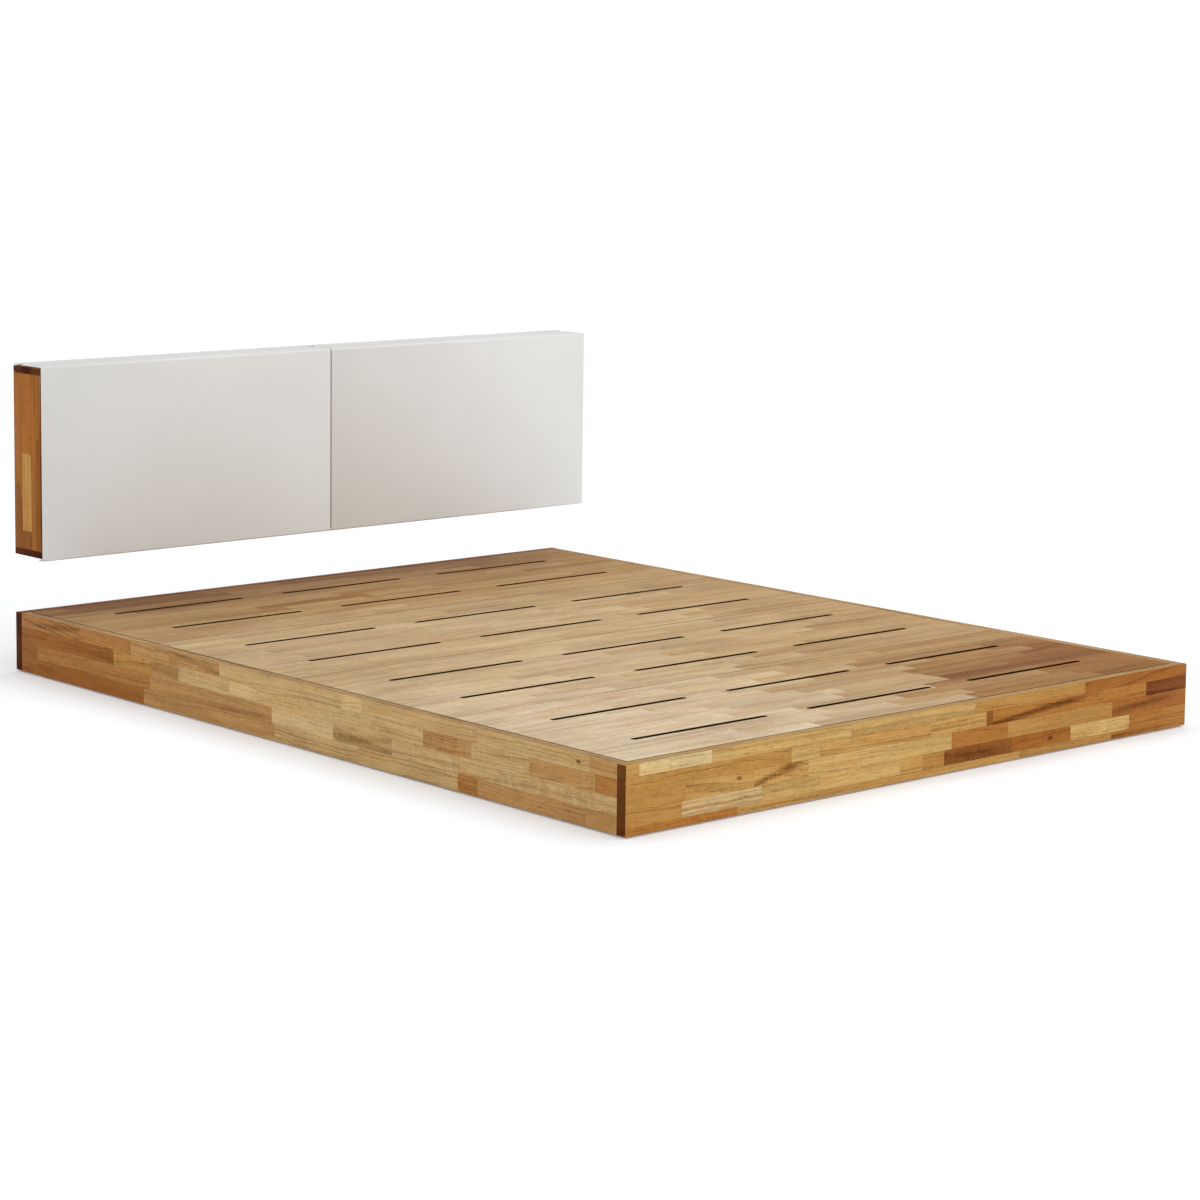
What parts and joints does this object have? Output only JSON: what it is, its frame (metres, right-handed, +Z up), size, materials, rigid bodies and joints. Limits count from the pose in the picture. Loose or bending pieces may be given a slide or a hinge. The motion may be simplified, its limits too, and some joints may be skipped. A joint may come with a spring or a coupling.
{
  "type": "platform bed with wall-hung headboard box",
  "caption": "Low butcher-block platform bed with a slotted flush deck and a wall-hung headboard box whose folded white fronts lift up.",
  "frame": {"origin": "on the floor, under the middle of the bed and headboard together", "axes": "+X across the bed to its right as seen from the foot, +Y from the foot to the head and the wall, +Z up"},
  "size_m": [1.65, 2.12, 0.7233],
  "materials": {
    "rail_wood": "oiled butcher block, mixed honey and brown staves, satin",
    "deck_wood": "oiled butcher block, paler staves, satin",
    "board_wood": "oiled butcher block, warm brown, satin",
    "frame_wood": "planed softwood, unfinished",
    "plywood": "thin birch plywood, matt",
    "white_coat": "folded steel sheet, warm white powder coat, satin",
    "steel": "zinc-plated steel",
    "felt": "pressed felt"
  },
  "bodies": {
    "platform": {"foot_rail": "rail_wood", "head_rail": "rail_wood", "side_rail_left": "rail_wood", "side_rail_right": "rail_wood", "deck_panel_1": "deck_wood", "deck_panel_2": "deck_wood", "deck_panel_3": "deck_wood", "deck_panel_4": "deck_wood", "corner_block_foot_left": "frame_wood", "corner_block_foot_right": "frame_wood", "corner_block_head_left": "frame_wood", "corner_block_head_right": "frame_wood", "glide_foot_left": "felt", "glide_foot_right": "felt", "glide_head_left": "felt", "glide_head_right": "felt", "bolt_end_foot_left": "steel", "bolt_end_foot_right": "steel", "bolt_end_head_left": "steel", "bolt_end_head_right": "steel", "bolt_side_foot_left": "steel", "bolt_side_foot_right": "steel", "bolt_side_head_left": "steel", "bolt_side_head_right": "steel", "side_cleat_left": "frame_wood", "side_cleat_right": "frame_wood", "foot_cleat": "frame_wood", "head_cleat": "frame_wood", "centre_beam": "frame_wood", "cross_beam_1": "frame_wood", "cross_beam_2": "frame_wood", "cross_beam_3": "frame_wood", "centre_leg_1": "frame_wood", "centre_leg_2": "frame_wood", "centre_leg_3": "frame_wood", "glide_centre_1": "felt", "glide_centre_2": "felt", "glide_centre_3": "felt", "wall_rail": "board_wood"},
    "headboard": {"box_top_board": "board_wood", "box_bottom_board": "board_wood", "box_end_left": "board_wood", "box_end_right": "board_wood", "box_divider": "board_wood", "box_back": "plywood", "hanging_rail": "board_wood", "rear_strip": "white_coat", "hinge_fixed_left": "white_coat", "hinge_fixed_right": "white_coat", "hinge_pin_left": "steel", "hinge_pin_right": "steel", "magnet_left": "steel", "magnet_right": "steel"},
    "left_front": {"front_left": "white_coat", "hinge_moving_left": "white_coat", "magnet_plate_left": "steel"},
    "right_front": {"front_right": "white_coat", "hinge_moving_right": "white_coat", "magnet_plate_right": "steel"}
  },
  "joints": [
    {"name": "headboard_lift_off", "type": "slide", "parent": "platform", "child": "headboard", "axis": [0, 0, 1], "range_m": [0, 0.025]},
    {"name": "left_front_lift", "type": "hinge", "parent": "headboard", "child": "left_front", "pos_m": [0, 1.03, 0.7203], "axis": [-1, 0, 0], "range_deg": [0, 105]},
    {"name": "right_front_lift", "type": "hinge", "parent": "headboard", "child": "right_front", "pos_m": [0, 1.03, 0.7203], "axis": [-1, 0, 0], "range_deg": [0, 105]}
  ]
}
